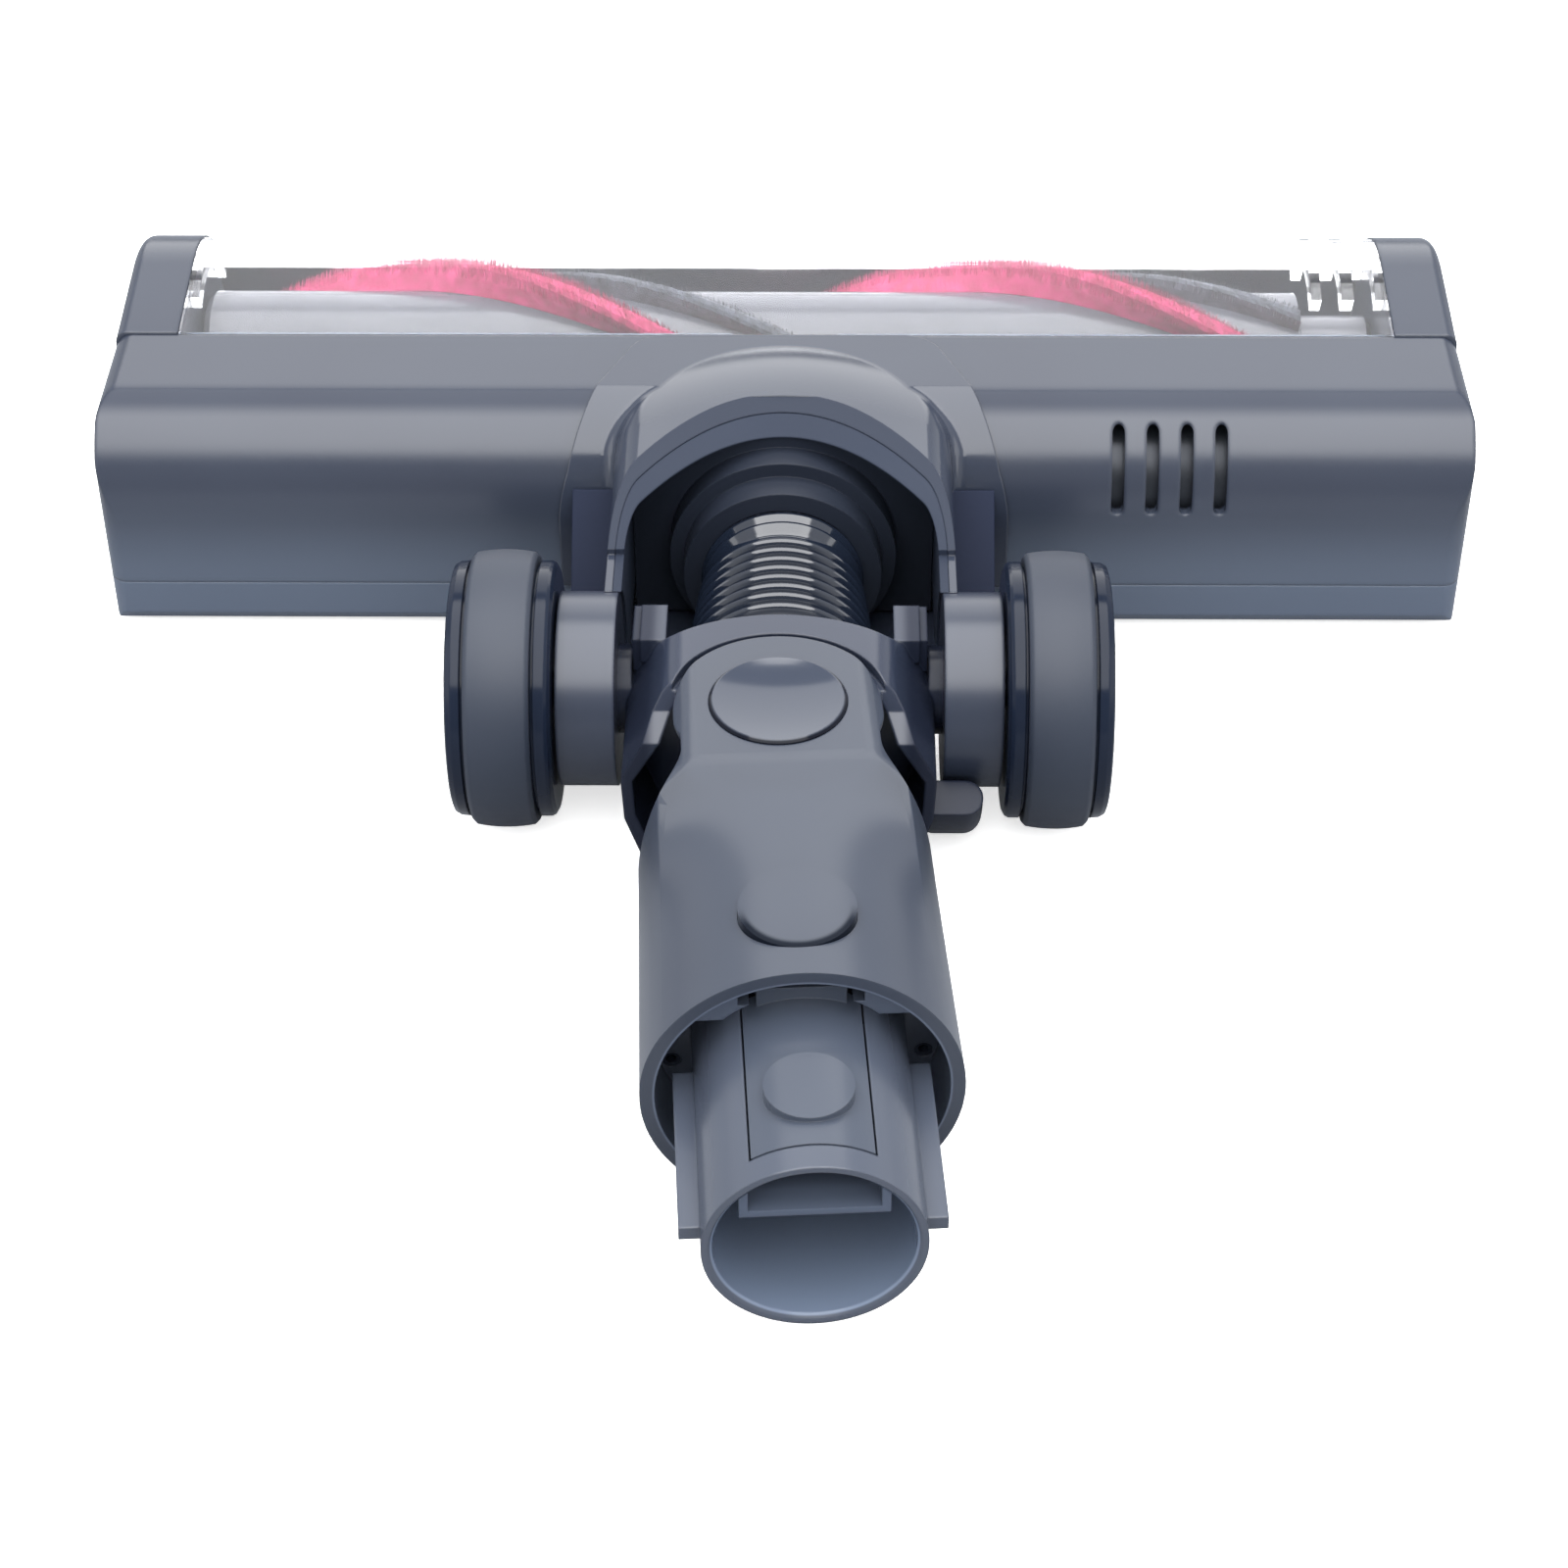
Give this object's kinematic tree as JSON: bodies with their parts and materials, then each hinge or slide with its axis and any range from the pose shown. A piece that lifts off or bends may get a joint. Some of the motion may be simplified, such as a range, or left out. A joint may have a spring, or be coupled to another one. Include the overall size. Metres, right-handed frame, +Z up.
{
  "type": "vacuum floor brush head",
  "caption": "Motorised floor brush head of a stick vacuum: clear window over a red-striped brush roller, wheeled neck with hose, swivel tube and latching connector.",
  "frame": {"origin": "on the floor under the middle of the whole part, where the wheel axle's middle is", "axes": "+X along the head to its motor side, +Y forward over the brush roller, +Z up"},
  "size_m": [0.2624, 0.2722, 0.053],
  "materials": {
    "graphite": "satin",
    "graphite_light": "satin",
    "gloss_black": "gloss",
    "clear": "gloss",
    "core_grey": "gloss",
    "red_bristle": "matte",
    "dark_soft": "matte",
    "tyre_rubber": "matte",
    "hose_black": "gloss",
    "inner_black": "matte",
    "steel": "satin",
    "motor_metal": "satin",
    "board_green": "matte",
    "brass": "gloss",
    "white_plastic": "satin",
    "lock_red": "satin"
  },
  "bodies": {
    "head": {"rear_housing": "graphite", "lower_housing": "graphite", "clear_window": "clear", "left_end_cap": "graphite", "right_end_cap": "graphite", "sole_plate": "inner_black", "centre_cover": "gloss_black", "hood": "graphite", "hose_port": "inner_black", "roller_bearings": "steel", "drive_belt": "dark_soft", "motor_case": "motor_metal", "motor_bracket": "inner_black", "circuit_board": "board_green", "wiper_strip": "dark_soft", "support_axles": "steel", "sole_screws": "steel", "wheel_axle_pins": "steel"},
    "brush_roller": {"brush_core": "core_grey", "bristle_strips": "red_bristle", "soft_strips": "dark_soft", "roller_end_plugs": "white_plastic", "roller_pulley": "white_plastic"},
    "motor_rotor": {"motor_shaft": "steel", "motor_pulley": "brass"},
    "neck": {"neck_base": "graphite", "air_hose": "hose_black"},
    "swivel": {"swivel_tube": "graphite_light", "pivot_cap": "gloss_black", "connector_tube": "graphite", "latch_box": "inner_black", "latch_axle": "steel", "latch_spring": "steel", "contact_sockets": "brass"},
    "release": {"release_button": "graphite_light"},
    "latch": {"latch_lever": "graphite_light"},
    "left_wheel": {"left_wheel_hub": "gloss_black", "left_wheel_tyre": "tyre_rubber"},
    "right_wheel": {"right_wheel_hub": "gloss_black", "right_wheel_tyre": "tyre_rubber"},
    "left_caster": {"left_support_roller": "inner_black"},
    "right_caster": {"right_support_roller": "inner_black"},
    "lock": {"roller_lock": "lock_red"}
  },
  "joints": [
    {"name": "neck_pitch", "type": "hinge", "parent": "head", "child": "neck", "pos_m": [0, 0, 0.025], "axis": [-1, 0, 0], "range_deg": [0, 90], "deforming": ["air_hose"]},
    {"name": "neck_swivel", "type": "hinge", "parent": "neck", "child": "swivel", "pos_m": [0, -0.0285, 0.0259], "axis": [0, 0, 1], "range_deg": [-38.6, 31.4], "deforming": ["air_hose"]},
    {"name": "left_wheel_spin", "type": "hinge", "parent": "head", "child": "left_wheel", "pos_m": [-0.049, 0, 0.025], "axis": [1, 0, 0], "continuous": true},
    {"name": "right_wheel_spin", "type": "hinge", "parent": "head", "child": "right_wheel", "pos_m": [0.049, 0, 0.025], "axis": [1, 0, 0], "continuous": true},
    {"name": "brush_spin", "type": "hinge", "parent": "head", "child": "brush_roller", "pos_m": [0, 0.1096, 0.0234], "axis": [1, 0, 0], "continuous": true},
    {"name": "motor_spin", "type": "hinge", "parent": "head", "child": "motor_rotor", "pos_m": [0.09, 0.067, 0.027], "axis": [1, 0, 0], "continuous": true},
    {"name": "left_caster_spin", "type": "hinge", "parent": "head", "child": "left_caster", "pos_m": [-0.098, 0.058, 0.005], "axis": [1, 0, 0], "continuous": true},
    {"name": "right_caster_spin", "type": "hinge", "parent": "head", "child": "right_caster", "pos_m": [0.098, 0.058, 0.005], "axis": [1, 0, 0], "continuous": true},
    {"name": "lock_slide", "type": "slide", "parent": "head", "child": "lock", "axis": [-1, 0, 0], "range_m": [0, 0.004]},
    {"name": "button_press", "type": "slide", "parent": "swivel", "child": "release", "axis": [0, 0, -1], "range_m": [0, 0.0008], "stiffness_N_per_m": 700, "springref_m": -0.0005},
    {"name": "latch_tilt", "type": "hinge", "parent": "swivel", "child": "latch", "pos_m": [0.00226, -0.06443, 0.045], "axis": [0.998, 0.0628, 0], "range_deg": [0, 1.98], "deforming": ["latch_spring"]}
  ],
  "couplings": [
    {"joint": "motor_spin", "follows": "brush_spin", "ratio": 1.9091},
    {"joint": "latch_tilt", "follows": "button_press", "rad_per_m": 43.284}
  ]
}
